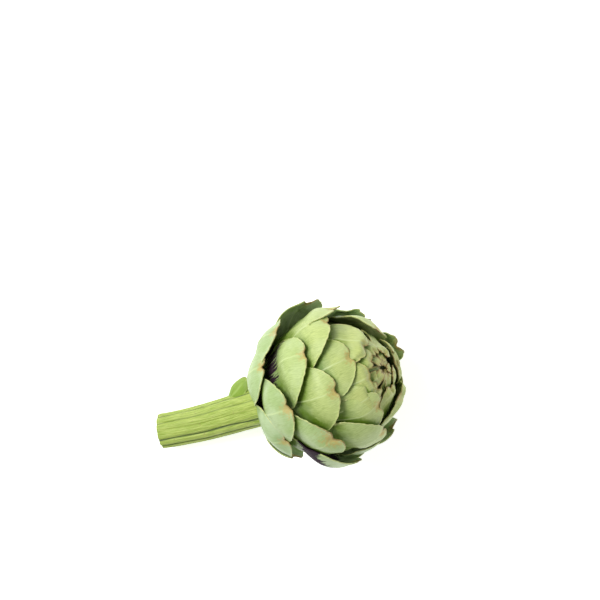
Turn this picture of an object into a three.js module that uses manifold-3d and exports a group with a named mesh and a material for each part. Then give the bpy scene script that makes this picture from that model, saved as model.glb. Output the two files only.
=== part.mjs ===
// A globe artichoke, as cut from the plant: a head of overlapping bracts on a short ribbed stem.
// It lies on its side. The head rests on a small flat spot, and the stem bends down to its cut end.
// Millimetres, +Z up. The origin is on the flat spot, under the weight, and +X is the way the head points.
import * as THREE from 'three';
import { mergeVertices } from 'three/addons/utils/BufferGeometryUtils.js';
import Module from 'manifold-3d';

// The head: an ellipsoid of closed bracts, opened out by the flare of the lower ones
const HEAD_RADIUS = 45; // across the axis
const HEAD_HALF_LENGTH = 43; // along the axis, from the widest ring to the apex
const HEAD_BASE_LENGTH = 51; // and from there to the stem
const HEAD_TILT = 27; // degrees, of the axis above the surface
const HEAD_CENTRE = { x: 12, z: 47.3 };
const CORE_DEPTH = 6.5; // the solid middle lies this far inside the outer faces
const CORE_SEGMENTS = 18;
const NECK_RADIUS = 12.6; // where the lowest bracts gather over the stem
const NECK_END = 46.5; // from the head's centre, towards the stem
const NECK_TOP = { radius: 27, at: 31 }; // where it widens into the core

// The bracts climb one spiral. Rank 0 is the first of the closed top, and ranks rise to the stem.
const GOLDEN_ANGLE = 137.508;
const FIRST_AZIMUTH = -16;
const INNER_RANKS = 13;
const OUTER_RANKS = 24;
const RANK_ZERO_ANGLE = 27; // degrees from the apex to the tip of rank 0
const ANGLE_PER_RANK = 4.5;
const INNER_CROWDING = 0.12; // how fast the tips draw together towards the apex
const INNER_SHRINKING = 0.115; // how fast the bracts grow smaller towards the apex
const LOWEST_ROOT = 162; // degrees from the apex, where the last bracts spring from the neck
const BRACT_REACH = 60; // degrees from a tip down to its root
const BRACT_HALF_WIDTH = 22;
const SHORTER_RANKS = { from: 12, to: 25, by: 0.3 }; // the lowest bracts are smaller again
const BRACT_TIP_LENGTH = 23; // the rounded part of the outline
const TIP_SHARPNESS = 1.12; // 1 is a half ellipse, and more is pointed
const BRACT_THICKNESS = 2.3;
const EDGE_THICKNESS = 0.8;
const NOTCH_DEPTH = 1.8; // in the middle of the tip
const LAYER_STEP = 0.1; // each degree between two tips lifts the outer bract by this
const APEX_RISE = 4.5; // how far the tips at the apex stand over the layers they cover
const APEX_DIP = { depth: 2.6, angle: 5 }; // the hollow in the middle of the bud
const BULGE = { height: 2.4, perRank: 0.14, reach: 38 }; // a bract's outer face swells, over this many degrees
const FLARE = { inner: 0.4, first: 0.8, perRank: 0.28, reach: 22, reachPerRank: 1.1 };
const OPEN_SIDE = { azimuth: -125, opening: 0.9 }; // the bracts stand further out on this side
const TWIST = 8; // degrees, of a blade about its tip
const TIP_LEAN = 2.2; // sideways
const TIP_ROLL = 0.9; // one edge of the tip up, the other down
const TIP_CURL = { height: 1, reach: 9 }; // the last bit of the tip turns out or in

// The bracts that grew off the even spiral. Tip, azimuth and twist are in degrees: where the tip is,
// and how far the blade swings about it. Flare is how far the tip stands out, and skew is the share by
// which one side of the blade is wider than the middle of both.
const OFF_SPIRAL = {
  '-2': { tip: 19.7, azimuth: -62, flare: 0.6, twist: 20 },
  0: { tip: 30.4, azimuth: -30, flare: 1.2, twist: 23 },
  1: { tip: 34, azimuth: -125, flare: 2, twist: 0 },
  2: { tip: 27.5, azimuth: 62, flare: 1.6, twist: -40 },
  3: { tip: 56.5, azimuth: -70, flare: 2.6, twist: 34, width: 1.05, roll: 0.8, skew: 0.4 },
  4: { tip: 45, azimuth: 152, flare: 1.5, twist: 3, width: 0.85 },
  5: { tip: 47.9, azimuth: 6, flare: 2.6, twist: -4, skew: 0.1 },
  6: { tip: 58, azimuth: -89, flare: 3, twist: 12, curl: 2, roll: 1 },
  7: { tip: 45.3, azimuth: 84, flare: 3.2, twist: -34, width: 0.85, skew: -0.4 },
  8: { tip: 65.8, azimuth: -32, flare: 3.8, twist: 6, skew: 0.28 },
  9: { tip: 42, azimuth: -168, flare: 5.5, twist: 0, width: 0.55 },
  10: { tip: 66.5, azimuth: 37, flare: 4.2, twist: 13, curl: 1.6, skew: -0.4 },
  11: { tip: 85.5, azimuth: -99, flare: 7, twist: 0 },
  12: { tip: 67, azimuth: 126, flare: 6, twist: 0, width: 0.55 },
  13: { tip: 85.4, azimuth: 5, flare: 4.4, twist: 0 },
  14: { tip: 63, azimuth: -137, flare: 4, twist: 0, width: 0.85 },
  15: { tip: 84, azimuth: 89, flare: 4.5, twist: -25 },
  16: { tip: 93, azimuth: -57, flare: 4, twist: 0 },
  18: { tip: 105, azimuth: 33, flare: 2.6, twist: -10, curl: -0.8 },
  19: { tip: 112, azimuth: -122, flare: 4, twist: 0 },
  20: { tip: 92.5, azimuth: 116, flare: 6, twist: 0 },
  21: { tip: 101, azimuth: -31, flare: 4, twist: 0, curl: -0.8 },
  22: { tip: 126, azimuth: -166, flare: 1, twist: 0 },
  23: { tip: 127.9, azimuth: 77, flare: 4, twist: 0 },
};

// The stem: a ribbed sweep from the neck to the cut end
const STEM_RADIUS = { top: 12.4, end: 10.8 };
const STEM_RUN = 73.4; // along X
const STEM_SIDE = 4; // the cut end's offset along Y
const STEM_END_HEIGHT = 10.5;
const STEM_END_TURN = 10; // degrees, in plan
const STEM_END_SLOPE = 5; // degrees, above the surface
const STEM_BEND = 26; // length of the curve's handles
const STEM_STEPS = 16;
const RIBS = 12;
const RIB_POINTS = 3;
const GROOVE_DEPTH = 0.9;
const JOINT_GAP = 0.3;

// The small leaf on the stem
const LEAF = {
  along: 0.29, // share of the stem's length, from the head
  rootAngle: 72, // degrees from the top of the stem to its side
  faceAngle: 22, // where the blade faces, in the same way
  lean: 41, // degrees, off the stem
  length: 19,
  halfWidth: 5,
  thickness: 1.3,
  cup: 1.6,
  sunk: 3.5,
  outline: [
    { share: 0, width: 0.5 }, { share: 0.25, width: 0.82 }, { share: 0.5, width: 1 },
    { share: 0.75, width: 0.9 }, { share: 0.92, width: 0.55 }, { share: 1, width: 0.15 },
  ],
};

const radians = THREE.MathUtils.degToRad;
const degrees = THREE.MathUtils.radToDeg;
const wasm = await Module();
wasm.setup();

// A fixed, even scatter between -1 and 1 for each bract and each trait
function scatter(rank, trait) {
  const wave = Math.sin(rank * 12.9898 + trait * 78.233) * 43758.5453;
  return 2 * (wave - Math.floor(wave)) - 1;
}

// Booleans: a closed geometry as a solid, and back
function solidFrom(geometry) {
  const bare = new THREE.BufferGeometry();
  bare.setAttribute('position', geometry.getAttribute('position'));
  bare.setIndex(geometry.getIndex());
  const merged = mergeVertices(bare, 1e-4);
  return new wasm.Manifold(new wasm.Mesh({
    numProp: 3,
    vertProperties: new Float32Array(merged.getAttribute('position').array),
    triVerts: new Uint32Array(merged.getIndex().array),
  }));
}

function geometryFrom(solid) {
  const mesh = solid.getMesh();
  const geometry = new THREE.BufferGeometry();
  geometry.setAttribute('position', new THREE.BufferAttribute(mesh.vertProperties, 3));
  geometry.setIndex(new THREE.BufferAttribute(mesh.triVerts, 1));
  geometry.computeVertexNormals();
  return geometry;
}

// Fusing can leave a crumb or close a pocket. Only the largest body is kept.
function oneBody(solid) {
  return solid.decompose().reduce((largest, body) => (body.volume() > largest.volume() ? body : largest));
}

function geometryOf(points, index) {
  const geometry = new THREE.BufferGeometry().setFromPoints(points);
  geometry.setIndex(index);
  return geometry;
}

// A thin closed blade from two like grids of points, rows from root to tip
function bladeGeometry(front, back) {
  const rows = front.length;
  const columns = front[0].length;
  const at = (side, row, column) => (side * rows + row) * columns + column;
  const index = [];
  const quad = (a, b, c, d) => index.push(a, b, c, a, c, d);
  for (let r = 0; r + 1 < rows; r++) {
    for (let c = 0; c + 1 < columns; c++) {
      quad(at(0, r, c), at(0, r, c + 1), at(0, r + 1, c + 1), at(0, r + 1, c));
      index.push(at(1, r, c), at(1, r + 1, c + 1), at(1, r, c + 1));
      index.push(at(1, r, c), at(1, r + 1, c), at(1, r + 1, c + 1));
    }
    quad(at(0, r, 0), at(0, r + 1, 0), at(1, r + 1, 0), at(1, r, 0));
    quad(at(0, r + 1, columns - 1), at(0, r, columns - 1), at(1, r, columns - 1), at(1, r + 1, columns - 1));
  }
  for (let c = 0; c + 1 < columns; c++) {
    quad(at(0, 0, c + 1), at(0, 0, c), at(1, 0, c), at(1, 0, c + 1));
    quad(at(0, rows - 1, c), at(0, rows - 1, c + 1), at(1, rows - 1, c + 1), at(1, rows - 1, c));
  }
  return geometryOf([...front.flat(), ...back.flat()], index);
}

// How deep a layer lies, by the angle of its tip from the apex
function layerDepth(angle) {
  if (angle >= RANK_ZERO_ANGLE) return LAYER_STEP * (angle - RANK_ZERO_ANGLE);
  return APEX_RISE * ((angle / RANK_ZERO_ANGLE) ** 0.4 - 1);
}

// How far the flare has opened at a share of its reach. It levels off at the tip.
function opened(nearTip) {
  return 1 - (1 - nearTip) ** 2;
}

// What sets one bract apart: its place on the spiral, its size and how far it stands out
function bractAt(rank) {
  const low = THREE.MathUtils.smoothstep(rank, SHORTER_RANKS.from, SHORTER_RANKS.to);
  const size = Math.exp(INNER_SHRINKING * Math.min(rank, 0)) * (1 - SHORTER_RANKS.by * low);
  const spiral = {
    tip: rank < 0 ? RANK_ZERO_ANGLE * Math.exp(INNER_CROWDING * rank) : RANK_ZERO_ANGLE + ANGLE_PER_RANK * rank,
    azimuth: FIRST_AZIMUTH - GOLDEN_ANGLE * rank + 5 * scatter(rank, 1),
    twist: TWIST * scatter(rank, 8),
    curl: TIP_CURL.height * size * scatter(rank, 7),
    width: 1 + 0.05 * scatter(rank, 2),
    roll: TIP_ROLL * size * scatter(rank, 6),
    skew: 0,
  };
  const facing = Math.max(0, Math.cos(radians(spiral.azimuth - OPEN_SIDE.azimuth)));
  spiral.flare = rank < 0 ? FLARE.inner
    : (FLARE.first + FLARE.perRank * rank) * (1 + OPEN_SIDE.opening * facing) * (1 + 0.3 * scatter(rank, 3));
  const { tip, azimuth, flare, twist, curl, width, roll, skew } = { ...spiral, ...OFF_SPIRAL[rank] };
  const rootAngle = Math.min(tip + BRACT_REACH * (0.45 + 0.55 * size), LOWEST_ROOT);
  return {
    rank,
    tipAngle: tip,
    azimuth,
    twist,
    rootAngle,
    halfWidth: BRACT_HALF_WIDTH * size * width,
    tipLength: BRACT_TIP_LENGTH * size,
    thickness: Math.max(BRACT_THICKNESS * size ** 0.5, 1.2),
    flare,
    flareReach: Math.min(FLARE.reach + FLARE.reachPerRank * Math.max(rank, 0), rootAngle - tip),
    curl,
    bulge: (BULGE.height + BULGE.perRank * Math.max(rank - 8, 0)) * size ** 1.5,
    lean: TIP_LEAN * size * scatter(rank, 5),
    roll,
    skew,
    notch: NOTCH_DEPTH * size ** 0.7 * (1 + 0.4 * scatter(rank, 4)),
  };
}

// A point of a bract in the head's frame: run is how far below its tip, side is from its midline, where
// 1 is its half width
function bractPoint(bract, run, side, inset) {
  const across = side * bract.halfWidth * (1 + bract.skew * side);
  const below = degrees(run / HEAD_RADIUS);
  const nearTip = Math.max(0, 1 - below / bract.flareReach);
  const swing = radians(bract.twist);
  const leaning = across + bract.lean * nearTip ** 2;
  const polar = radians(bract.tipAngle) + (run * Math.cos(swing) - leaning * Math.sin(swing)) / HEAD_RADIUS;
  const turn = (run * Math.sin(swing) + leaning * Math.cos(swing)) / HEAD_RADIUS;
  const out = new THREE.Vector3(
    Math.cos(turn) * Math.sin(polar), Math.sin(turn), Math.cos(turn) * Math.cos(polar));
  out.applyAxisAngle(new THREE.Vector3(0, 0, 1), radians(bract.azimuth));
  const pointAngle = degrees(Math.acos(THREE.MathUtils.clamp(out.z, -1, 1)));
  const swell = bract.bulge * (1 - side ** 2) * Math.sin(Math.PI * Math.min(below / BULGE.reach, 1));
  const curl = bract.curl * Math.max(0, 1 - run / TIP_CURL.reach) ** 2;
  const dip = APEX_DIP.depth * Math.exp(-((pointAngle / APEX_DIP.angle) ** 2));
  const lift = layerDepth(bract.tipAngle) - layerDepth(pointAngle)
    + bract.flare * opened(nearTip) + swell + curl + bract.roll * side * nearTip - dip;
  const length = out.z > 0 ? HEAD_HALF_LENGTH : HEAD_BASE_LENGTH;
  const normal = new THREE.Vector3(out.x / HEAD_RADIUS, out.y / HEAD_RADIUS, out.z / length).normalize();
  return new THREE.Vector3(out.x * HEAD_RADIUS, out.y * HEAD_RADIUS, out.z * length)
    .addScaledVector(normal, lift - inset);
}

// The outline from root to tip: straight sides, then a rounded end with a notch
function bractGeometry(bract) {
  const small = bract.rank < 0;
  const columns = small ? 6 : 8;
  const tipAngles = small ? [90, 55, 14] : [90, 62, 38, 13];
  const length = radians(bract.rootAngle - bract.tipAngle) * HEAD_RADIUS;
  const tipLength = Math.min(bract.tipLength, 0.7 * length);
  const rows = [
    { run: length, width: 0.72 },
    { run: (length + tipLength) / 2, width: 0.93 },
    ...tipAngles.map((angle) => ({
      run: tipLength * (1 - Math.cos(radians(angle))),
      width: Math.sin(radians(angle)) ** TIP_SHARPNESS,
    })),
  ];
  const front = [];
  const back = [];
  rows.forEach(({ run, width }, row) => {
    const atTip = row === rows.length - 1;
    const place = (inner) => Array.from({ length: columns + 1 }, (_, c) => {
      const t = (2 * c) / columns - 1;
      const notch = atTip ? bract.notch * Math.max(0, 1 - 2 * Math.abs(t)) + 0.5 * t ** 4 : 0;
      const bodyThickness = EDGE_THICKNESS + (bract.thickness - EDGE_THICKNESS) * (1 - t ** 2) * (atTip ? 0.2 : width);
      return bractPoint(bract, run + notch, t * width, inner ? bodyThickness : 0);
    });
    front.push(place(false));
    back.push(place(true));
  });
  return bladeGeometry(front, back);
}

// The solid middle, longer towards the stem than towards the apex
function coreGeometry() {
  const core = new THREE.SphereGeometry(1, CORE_SEGMENTS, CORE_SEGMENTS / 2);
  core.rotateX(Math.PI / 2);
  const position = core.getAttribute('position');
  for (let i = 0; i < position.count; i++) {
    const length = position.getZ(i) > 0 ? HEAD_HALF_LENGTH : HEAD_BASE_LENGTH;
    position.setZ(i, position.getZ(i) * (length - CORE_DEPTH));
  }
  return core.scale(HEAD_RADIUS - CORE_DEPTH, HEAD_RADIUS - CORE_DEPTH, 1);
}

function neckGeometry() {
  const neck = new THREE.CylinderGeometry(NECK_TOP.radius, NECK_RADIUS, NECK_END - NECK_TOP.at, CORE_SEGMENTS);
  neck.rotateX(Math.PI / 2);
  neck.translate(0, 0, -(NECK_END + NECK_TOP.at) / 2);
  return neck;
}

// Everything below the surface that the artichoke lies on
function floorGeometry() {
  const size = 400;
  return new THREE.BoxGeometry(size, size, size).translate(0, 0, -size / 2);
}

function makeHead(frame) {
  let solid = solidFrom(coreGeometry()).add(solidFrom(neckGeometry()));
  for (let rank = -INNER_RANKS; rank < OUTER_RANKS; rank++) {
    solid = solid.add(solidFrom(bractGeometry(bractAt(rank))));
  }
  const floor = floorGeometry().applyMatrix4(frame.clone().invert());
  return oneBody(solid.subtract(solidFrom(floor)));
}

// The head's axis in the part's frame, with the side that faces up as its own +X
function headFrame() {
  const tilt = radians(HEAD_TILT);
  const axis = new THREE.Vector3(Math.cos(tilt), 0, Math.sin(tilt));
  const upper = new THREE.Vector3(-Math.sin(tilt), 0, Math.cos(tilt));
  const frame = new THREE.Matrix4().makeBasis(upper, axis.clone().cross(upper), axis);
  return frame.setPosition(HEAD_CENTRE.x, 0, HEAD_CENTRE.z);
}

function stemCurve(frame) {
  const top = new THREE.Vector3(0, 0, -NECK_END - JOINT_GAP).applyMatrix4(frame);
  const axis = new THREE.Vector3().setFromMatrixColumn(frame, 2);
  const turn = radians(STEM_END_TURN);
  const slope = radians(STEM_END_SLOPE);
  const towardsHead = new THREE.Vector3(
    Math.cos(turn) * Math.cos(slope), -Math.sin(turn) * Math.cos(slope), Math.sin(slope));
  const end = new THREE.Vector3(top.x - STEM_RUN, STEM_SIDE, STEM_END_HEIGHT);
  return new THREE.CubicBezierCurve3(
    top, top.clone().addScaledVector(axis, -STEM_BEND), end.clone().addScaledVector(towardsHead, STEM_BEND), end);
}

// The stem's own directions at a share of its length, kept upright so that it doesn't twist
function stemFrame(curve, share) {
  const along = curve.getTangentAt(share);
  const side = new THREE.Vector3(0, 0, 1).cross(along).normalize();
  return { centre: curve.getPointAt(share), along, side, up: along.clone().cross(side) };
}

// Rings of points, each closed on itself, joined into one closed solid
function loftGeometry(rings) {
  const around = rings[0].length;
  const points = rings.flat();
  const index = [];
  for (let r = 0; r + 1 < rings.length; r++) {
    for (let i = 0; i < around; i++) {
      const a = r * around + i;
      const b = r * around + ((i + 1) % around);
      index.push(a, b, b + around, a, b + around, a + around);
    }
  }
  [0, rings.length - 1].forEach((ring) => {
    const middle = points.length;
    const sum = rings[ring].reduce((total, point) => total.add(point), new THREE.Vector3());
    points.push(sum.divideScalar(around));
    for (let i = 0; i < around; i++) {
      const a = ring * around + i;
      const b = ring * around + ((i + 1) % around);
      index.push(...(ring === 0 ? [middle, b, a] : [middle, a, b]));
    }
  });
  return geometryOf(points, index);
}

function stemGeometry(curve) {
  const around = RIBS * RIB_POINTS;
  const rings = [];
  for (let step = 0; step <= STEM_STEPS; step++) {
    const share = step / STEM_STEPS;
    const { centre, side, up } = stemFrame(curve, share);
    const radius = THREE.MathUtils.lerp(STEM_RADIUS.top, STEM_RADIUS.end, share);
    const groove = GROOVE_DEPTH * THREE.MathUtils.smoothstep(share, 0, 0.3);
    rings.push(Array.from({ length: around }, (_, i) => {
      const angle = (2 * Math.PI * i) / around;
      const reach = radius - (i % RIB_POINTS === 0 ? groove : 0);
      return centre.clone()
        .addScaledVector(side, reach * Math.cos(angle))
        .addScaledVector(up, reach * Math.sin(angle));
    }));
  }
  return loftGeometry(rings);
}

// The small leaf: a rounded cupped blade that leans off the side of the stem towards the head
function leafGeometry(curve) {
  const { centre, along, side, up } = stemFrame(curve, LEAF.along);
  const around = (angle) => side.clone().multiplyScalar(-Math.sin(radians(angle)))
    .addScaledVector(up, Math.cos(radians(angle)));
  const out = around(LEAF.rootAngle);
  const lean = radians(LEAF.lean);
  const length = along.clone().multiplyScalar(-Math.cos(lean)).addScaledVector(out, Math.sin(lean));
  const across = around(LEAF.faceAngle).cross(length).negate().normalize();
  const normal = across.clone().cross(length);
  const root = centre.clone().addScaledVector(out, STEM_RADIUS.top - LEAF.sunk);
  const layer = (inset) => LEAF.outline.map(({ share, width }) => Array.from({ length: 5 }, (_, c) => {
    const t = c / 2 - 1;
    const rise = LEAF.cup * (Math.sin(Math.PI * share) - t * t * width) - inset;
    return root.clone()
      .addScaledVector(length, LEAF.length * share)
      .addScaledVector(normal, rise)
      .addScaledVector(across, t * width * LEAF.halfWidth);
  }));
  return bladeGeometry(layer(0), layer(LEAF.thickness));
}

function makeStem(frame) {
  const curve = stemCurve(frame);
  const whole = solidFrom(stemGeometry(curve)).add(solidFrom(leafGeometry(curve)));
  return oneBody(whole.subtract(solidFrom(floorGeometry())));
}

const bractGreen = new THREE.MeshStandardMaterial({ name: 'bract', color: 0x9db86a, roughness: 0.55, metalness: 0 });
const stemGreen = new THREE.MeshStandardMaterial({ name: 'stem', color: 0xa9bf5c, roughness: 0.6, metalness: 0 });

const artichoke = new THREE.Group();
const frame = headFrame();

const headGroup = new THREE.Group();
headGroup.applyMatrix4(frame);
const head = new THREE.Mesh(geometryFrom(makeHead(frame)), bractGreen);
head.name = 'head';
headGroup.add(head);
artichoke.add(headGroup);

const stem = new THREE.Mesh(geometryFrom(makeStem(frame)), stemGreen);
stem.name = 'stem';
artichoke.add(stem);

export default artichoke;
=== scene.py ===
# A globe artichoke lying on its side: bracts on a spiral, a ribbed stem and its small leaf.
# Shapes are worked out in millimetres in the same frame as the solids, and made in metres.
import math

import bpy
from mathutils import Matrix, Vector
from mathutils.bvhtree import BVHTree


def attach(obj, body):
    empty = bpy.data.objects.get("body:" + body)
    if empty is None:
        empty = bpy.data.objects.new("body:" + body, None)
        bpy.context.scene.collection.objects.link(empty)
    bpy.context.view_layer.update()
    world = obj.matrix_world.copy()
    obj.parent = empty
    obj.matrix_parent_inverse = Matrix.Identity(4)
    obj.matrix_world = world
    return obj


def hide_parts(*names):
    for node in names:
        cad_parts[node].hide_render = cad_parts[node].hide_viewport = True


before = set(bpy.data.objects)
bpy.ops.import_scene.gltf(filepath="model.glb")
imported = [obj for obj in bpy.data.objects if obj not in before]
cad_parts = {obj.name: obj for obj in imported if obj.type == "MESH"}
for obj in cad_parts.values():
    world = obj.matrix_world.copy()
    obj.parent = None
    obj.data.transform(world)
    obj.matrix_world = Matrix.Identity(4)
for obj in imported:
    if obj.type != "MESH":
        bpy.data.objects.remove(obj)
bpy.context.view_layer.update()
mm = 0.001

head = {
    "radius": 45.0,
    "halfLength": 43.0,
    "baseLength": 51.0,
    "tilt": 27.0,
    "centre": (12.0, 0.0, 47.3),
    "coreDepth": 6.9,
    "neckEnd": 46.5,
    "neckFrom": 0.9,
    "neckDraw": 3.0,
    "segments": 72,
    "rings": 40,
}

spiral = {
    "goldenAngle": 137.508,
    "firstAzimuth": -16.0,
    "innerRanks": 24,
    "outerRanks": 25,
    "shorterFrom": 12,
    "shorterTo": 25,
    "shorterBy": 0.3,
    "rankZeroAngle": 27.0,
    "anglePerRank": 4.5,
    "innerCrowding": 0.12,
    "innerShrinking": 0.115,
    "lowestRoot": 162.0,
    "reach": 60.0,
    "leastReach": 0.45,
}

blade = {
    "halfWidth": 22.0,
    "tipLength": 23.0,
    "tipSharpness": 1.12,
    "thickness": 2.3,
    "edgeThickness": 0.7,
    "leastThickness": 1.2,
    "longestTip": 0.7,
    "notchDepth": 3.3,
    "notchWidth": 0.11,
    "pinch": 1.3,
    "pinchWidth": 2.6,
    "layerStep": 0.1,
    "apexDip": 3.2,
    "apexDipAngle": 6.0,
    "bulge": 2.4,
    "bulgePerRank": 0.14,
    "bulgeFrom": 8,
    "bulgeReach": 38.0,
    "flareFirst": 0.8,
    "flarePerRank": 0.28,
    "flareReach": 22.0,
    "flareReachPerRank": 1.1,
    "openAzimuth": -125.0,
    "opening": 0.9,
    "twist": 8.0,
    "tipLean": 2.2,
    "tipRoll": 0.9,
    "tipCurl": 1.0,
    "curlReach": 9.0,
    "midrib": 0.35,
    "midribWidth": 1.3,
    "midribFrom": 2,
    "midribTo": 12,
    "edgeRoll": 0.35,
    "wave": 0.45,
    "frill": 0.3,
    "frillReach": 3.2,
    "frillCloseness": 0.62,
    "pinchReach": 3.5,
    "rimWidth": 1.1,
    "longWave": 0.23,
    "shortWave": 0.41,
    "shortWaveShare": 0.7,
    "sideCloseness": 0.8,
    "ripple": 0.22,
    "rippleCloseness": 1.9,
    "fineRipple": 0.13,
    "fineCloseness": 4.3,
    "narrowing": 0.28,
    "rootCrowding": 1.35,
    "fleshReach": 9,
    "flareScatter": 0.3,
    "azimuthScatter": 5,
    "widthScatter": 0.05,
    "notchScatter": 0.4,
    "notchAside": 0.12,
}

# the closed top, where only the last bit of each blade stands off
bud = {
    "flare": 1.9,
    "flareScatter": 0.4,
    "flareReach": 12.0,
    "length": 24,
    "lengthPerWidth": 0.6,
    "tipPerWidth": 1.05,
    "notch": 1.3,
    "notchWidth": 0.2,
    "lobes": 1.9,
    "lobeShift": 2.4,
    "lobeShape": 0.7,
    "lobeDepth": 1.5,
    "plump": 2.6,
    "plumpEdge": 4.5,
    "plumpFrom": 6,
    "plumpTo": 16,
    "rise": 6.5,
    "riseShape": 0.4,
    "sunk": 1.1,
    "sunkWithin": 12,
    "sunkBelow": 19.0,
}

# the bud's larger bracts, placed one by one: angles in degrees, half widths in mm
budBracts = {
    -2: dict(tip=19.7, azimuth=-64, flare=1.6, twist=16, halfWidth=18.0),
    -3: dict(tip=24.0, azimuth=35, flare=1.3, twist=-12, halfWidth=13.0),
    -4: dict(tip=17.0, azimuth=177, flare=1.4, twist=0, halfWidth=12.5),
    -5: dict(tip=17.4, azimuth=4, flare=1.5, twist=4, halfWidth=15.5),
    -6: dict(tip=13.5, azimuth=97, flare=1.2, twist=0, halfWidth=9.5),
    -7: dict(tip=12.5, azimuth=-35, flare=1.8, twist=0, halfWidth=8.5),
    -8: dict(tip=15.5, azimuth=42, flare=0.9, twist=-10, halfWidth=7.0),
    -9: dict(tip=9.5, azimuth=-128, flare=1.9, twist=0, halfWidth=7.5),
    -10: dict(tip=7.0, azimuth=18, flare=0.7, twist=10, halfWidth=5.0),
    -11: dict(tip=11.0, azimuth=-85, flare=1.1, twist=10, halfWidth=6.5),
    -12: dict(tip=20.5, azimuth=-168, flare=1.6, twist=0, halfWidth=12.0),
    -13: dict(tip=10.0, azimuth=150, flare=1.2, twist=0, halfWidth=7.0),
}

# the bracts that grew off the even spiral
offSpiral = {
    0: dict(tip=30.4, azimuth=-30, flare=1.2, twist=23, browned=1.2),
    1: dict(tip=34, azimuth=-125, flare=2, twist=0),
    2: dict(tip=27.5, azimuth=62, flare=1.6, twist=-40, skew=0.4),
    3: dict(tip=56.5, azimuth=-70, flare=2.6, twist=34, width=1.05, roll=0.8, skew=0.4, browned=0.8),
    4: dict(tip=45, azimuth=152, flare=1.5, twist=3, width=0.85),
    5: dict(tip=47.9, azimuth=6, flare=2.6, twist=-4, skew=0.1, browned=1.25),
    6: dict(tip=58, azimuth=-89, flare=3, twist=12, curl=2, roll=1),
    7: dict(tip=45.3, azimuth=84, flare=3.2, twist=-34, width=0.85, skew=-0.4),
    8: dict(tip=65.8, azimuth=-32, flare=3.8, twist=6, skew=0.28),
    9: dict(tip=42, azimuth=-168, flare=5.5, twist=0, width=0.55, ragged=3.0),
    10: dict(tip=66.5, azimuth=37, flare=4.2, twist=13, curl=1.8, skew=-0.4, browned=1.8),
    11: dict(tip=85.5, azimuth=-99, flare=7, twist=0, ragged=1.6),
    12: dict(tip=67, azimuth=126, flare=6, twist=0, width=0.55),
    13: dict(tip=85.4, azimuth=5, flare=4.4, twist=0, browned=1.3),
    14: dict(tip=63, azimuth=-137, flare=4, twist=0, width=0.85, ragged=5.0),
    15: dict(tip=84, azimuth=89, flare=4.5, twist=-17, width=1.1, narrowing=-0.1, skew=-0.35),
    16: dict(tip=93, azimuth=-57, flare=4, twist=0),
    18: dict(tip=105, azimuth=33, flare=2.6, twist=-10, curl=-0.8),
    19: dict(tip=112, azimuth=-122, flare=4, twist=0),
    20: dict(tip=92.5, azimuth=116, flare=6, twist=0),
    21: dict(tip=101, azimuth=-31, flare=4, twist=0, curl=-0.8),
    22: dict(tip=126, azimuth=-166, flare=1, twist=0),
    23: dict(tip=127.9, azimuth=77, flare=4, twist=0),
    24: dict(tip=64, azimuth=104, flare=1.2, twist=-8),
}

# purple-black feathering on the faces, in mm below the tip
stains = {
    8: dict(start=26, fade=8, side=-0.7, strength=1.2),
    10: dict(start=33, fade=7, side=0.5, strength=0.6),
    13: dict(start=29, fade=4, side=0.0, strength=1.1),
    15: dict(start=16, fade=4, side=0.0, strength=1.3),
    16: dict(start=30, fade=8, side=0.0, strength=0.7),
}
stainBand = {
    "slant": 0.35,
    "fadesAfter": 10,
    "goneAfter": 18,
}

# what the colours follow: lowness grows towards the stem, budShare towards the apex, both by rank
ranks = {
    "lowFrom": -2,
    "lowTo": 18,
    "budFrom": -4,
    "budTo": 1,
}

mapSize = 100  # mm that one unit of the map covers


# each trait has its own number in the scatter
traits = {
    "azimuth": 1,
    "width": 2,
    "flare": 3,
    "notch": 4,
    "lean": 5,
    "roll": 6,
    "curl": 7,
    "twist": 8,
    "wave": 9,
    "tone": 10,
    "ripple": 11,
    "fineRipple": 12,
    "lobes": 13,
    "notchPlace": 14,
    "groove": 21,
}


# a fixed, even scatter between -1 and 1 for each bract and each trait
def scatter(rank, trait):
    wave = math.sin(rank * 12.9898 + traits[trait] * 78.233) * 43758.5453
    return 2 * (wave - math.floor(wave)) - 1


def smoothStep(value, low, high):
    share = min(max((value - low) / (high - low), 0.0), 1.0)
    return share * share * (3 - 2 * share)


def clearSelection():
    if bpy.context.object and bpy.context.object.mode != "OBJECT":
        bpy.ops.object.mode_set(mode="OBJECT")
    bpy.ops.object.select_all(action="DESELECT")


def selectOnly(piece):
    clearSelection()
    piece.select_set(True)
    bpy.context.view_layer.objects.active = piece


def applyThickness(piece):
    selectOnly(piece)
    bpy.ops.object.modifier_apply(modifier="thickness")
    bpy.ops.object.shade_smooth()


def headFrame():
    tilt = math.radians(head["tilt"])
    axis = Vector((math.cos(tilt), 0, math.sin(tilt)))
    upper = Vector((-math.sin(tilt), 0, math.cos(tilt)))
    turned = Matrix((upper, axis.cross(upper), axis)).transposed().to_4x4()
    turned.translation = Vector(head["centre"])
    return turned


# how deep a layer lies, by the angle of its tip from the apex
def layerDepth(angle):
    zero = spiral["rankZeroAngle"]
    if angle >= zero:
        return blade["layerStep"] * (angle - zero)
    return bud["rise"] * ((angle / zero) ** bud["riseShape"] - 1)


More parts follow.
